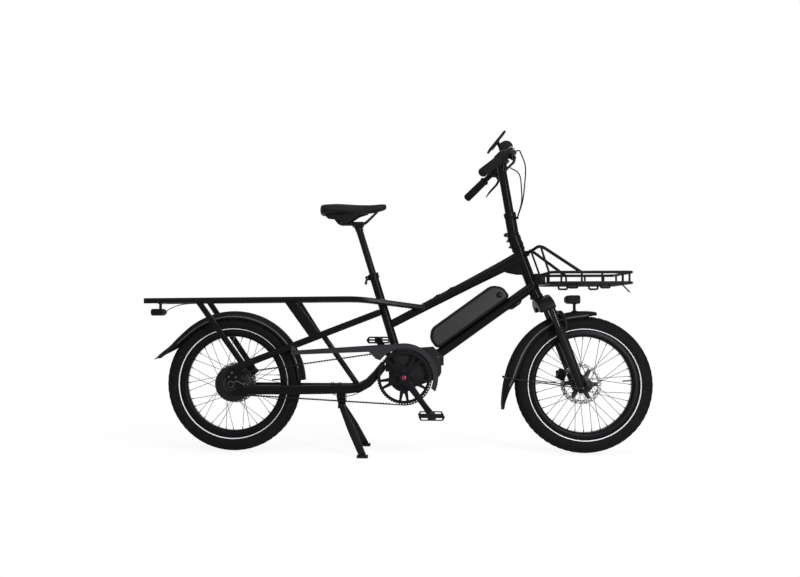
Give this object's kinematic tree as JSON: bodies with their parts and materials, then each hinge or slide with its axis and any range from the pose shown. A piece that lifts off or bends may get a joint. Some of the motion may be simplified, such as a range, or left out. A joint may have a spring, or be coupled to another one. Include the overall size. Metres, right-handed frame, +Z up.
{
  "type": "longtail cargo bicycle",
  "caption": "Longtail cargo bicycle with a low stepped frame, long rear carrier, front tray, mid motor, belt drive, suspension fork and folding two-leg stand.",
  "frame": {"origin": "middle of the bike's footprint on the floor, centred along its length and across its middle plane", "axes": "+X forward, +Y to the bike's left, +Z up"},
  "size_m": [1.9492, 0.6892, 1.2477],
  "materials": {
    "frame_paint": "satin near-black powder coat",
    "rim_black": "satin black anodised",
    "tyre_rubber": "matt rubber",
    "rubber": "matt rubber",
    "saddle_cover": "fine-grained synthetic cover",
    "black_plastic": "fine-textured moulding",
    "motor_shell": "dark grey coated casting",
    "bare_metal": "dark machined metal"
  },
  "bodies": {
    "frame": {"head_tube": "frame_paint", "top_tube": "frame_paint", "down_tube": "frame_paint", "seat_tube": "frame_paint", "motor_bracket": "frame_paint", "chainstay_right": "frame_paint", "chainstay_left": "frame_paint", "seatstay_right": "frame_paint", "seatstay_left": "frame_paint", "rack_rail_right": "frame_paint", "rack_rail_left": "frame_paint", "rack_cross_tube_tail": "frame_paint", "rack_cross_tube_front": "frame_paint", "rear_strut_right": "frame_paint", "rear_strut_left": "frame_paint", "front_strut_right": "frame_paint", "front_strut_left": "frame_paint", "brace_tube_right": "frame_paint", "brace_tube_left": "frame_paint", "rear_axle": "bare_metal", "rear_fender": "black_plastic", "tail_light": "black_plastic", "motor_housing": "motor_shell", "belt_guard": "black_plastic", "drive_belt": "rubber", "front_rack_tray": "frame_paint", "front_rack_hoop": "frame_paint", "stand_bracket": "frame_paint", "rear_caliper": "frame_paint"},
    "battery": {"battery_case": "black_plastic"},
    "seat": {"seatpost": "frame_paint", "saddle": "saddle_cover"},
    "seat_lever": {"seat_clamp_lever": "bare_metal"},
    "steering": {"fork_crown": "frame_paint", "stem": "frame_paint", "handlebar": "frame_paint", "grip_right": "rubber", "grip_left": "rubber", "display": "black_plastic", "cockpit_hose": "rubber"},
    "brake_right": {"brake_lever_right": "frame_paint"},
    "brake_left": {"brake_lever_left": "frame_paint"},
    "shifter": {"twist_shifter": "black_plastic"},
    "fork_sliders": {"fork_lowers": "frame_paint", "front_fender": "black_plastic", "headlight": "black_plastic", "front_caliper": "frame_paint"},
    "front_wheel": {"front_hub": "bare_metal", "front_rim": "rim_black", "front_tyre": "tyre_rubber"},
    "rear_wheel": {"rear_hub": "bare_metal", "rear_rim": "rim_black", "rear_tyre": "tyre_rubber"},
    "sprocket": {"rear_sprocket": "bare_metal"},
    "crank": {"chainring": "frame_paint", "crank_right": "frame_paint", "crank_left": "frame_paint"},
    "right_pedal": {"pedal_right": "black_plastic"},
    "left_pedal": {"pedal_left": "black_plastic"},
    "stand": {"stand_legs": "frame_paint"}
  },
  "joints": [
    {"name": "steering_turn", "type": "hinge", "parent": "frame", "child": "steering", "pos_m": [0.537, 0, 0.597], "axis": [-0.3464, 0, 0.9381], "range_deg": [-45, 45]},
    {"name": "fork_travel", "type": "slide", "parent": "steering", "child": "fork_sliders", "axis": [-0.3464, 0, 0.9381], "range_m": [0, 0.024], "stiffness_N_per_m": 20000, "springref_m": -0.01},
    {"name": "front_wheel_spin", "type": "hinge", "parent": "fork_sliders", "child": "front_wheel", "pos_m": [0.7115, 0, 0.264], "axis": [0, 1, 0], "continuous": true},
    {"name": "rear_wheel_spin", "type": "hinge", "parent": "frame", "child": "rear_wheel", "pos_m": [-0.6435, 0, 0.264], "axis": [0, 1, 0], "continuous": true},
    {"name": "crank_turn", "type": "hinge", "parent": "frame", "child": "crank", "pos_m": [0.0215, 0, 0.293], "axis": [0, 1, 0], "continuous": true},
    {"name": "sprocket_turn", "type": "hinge", "parent": "frame", "child": "sprocket", "pos_m": [-0.6435, 0, 0.264], "axis": [0, 1, 0], "continuous": true},
    {"name": "right_pedal_spin", "type": "hinge", "parent": "crank", "child": "right_pedal", "pos_m": [0.12214, 0, 0.15599], "axis": [0, 1, 0], "continuous": true},
    {"name": "left_pedal_spin", "type": "hinge", "parent": "crank", "child": "left_pedal", "pos_m": [-0.07914, 0, 0.43001], "axis": [0, 1, 0], "continuous": true},
    {"name": "battery_slide", "type": "slide", "parent": "frame", "child": "battery", "axis": [0.811, 0, 0.5851], "range_m": [0, 0.04]},
    {"name": "seat_height", "type": "slide", "parent": "frame", "child": "seat", "axis": [-0.2926, 0, 0.9562], "range_m": [-0.11, 0.05]},
    {"name": "seat_lever_open", "type": "hinge", "parent": "frame", "child": "seat_lever", "pos_m": [-0.1204, -0.0108, 0.67482], "axis": [0, 1, 0], "range_deg": [0, 150]},
    {"name": "brake_right_pull", "type": "hinge", "parent": "steering", "child": "brake_right", "pos_m": [0.42195, -0.23532, 1.1005], "axis": [-0.01, 0.5835, -0.8121], "range_deg": [0, 20], "stiffness_Nm_per_rad": 3, "springref_deg": -5.73},
    {"name": "brake_left_pull", "type": "hinge", "parent": "steering", "child": "brake_left", "pos_m": [0.42195, 0.23532, 1.1005], "axis": [0.01, 0.5835, 0.8121], "range_deg": [0, 20], "stiffness_Nm_per_rad": 3, "springref_deg": -5.73},
    {"name": "shifter_twist", "type": "hinge", "parent": "steering", "child": "shifter", "pos_m": [0.298, -0.33, 1.034], "axis": [0.5392, 0.6871, 0.487], "range_deg": [-45, 45]},
    {"name": "stand_fold", "type": "hinge", "parent": "frame", "child": "stand", "pos_m": [-0.22, 0, 0.181], "axis": [0, 1, 0], "range_deg": [0, 95]}
  ],
  "couplings": [
    {"joint": "sprocket_turn", "follows": "crank_turn", "ratio": 2.7273}
  ]
}
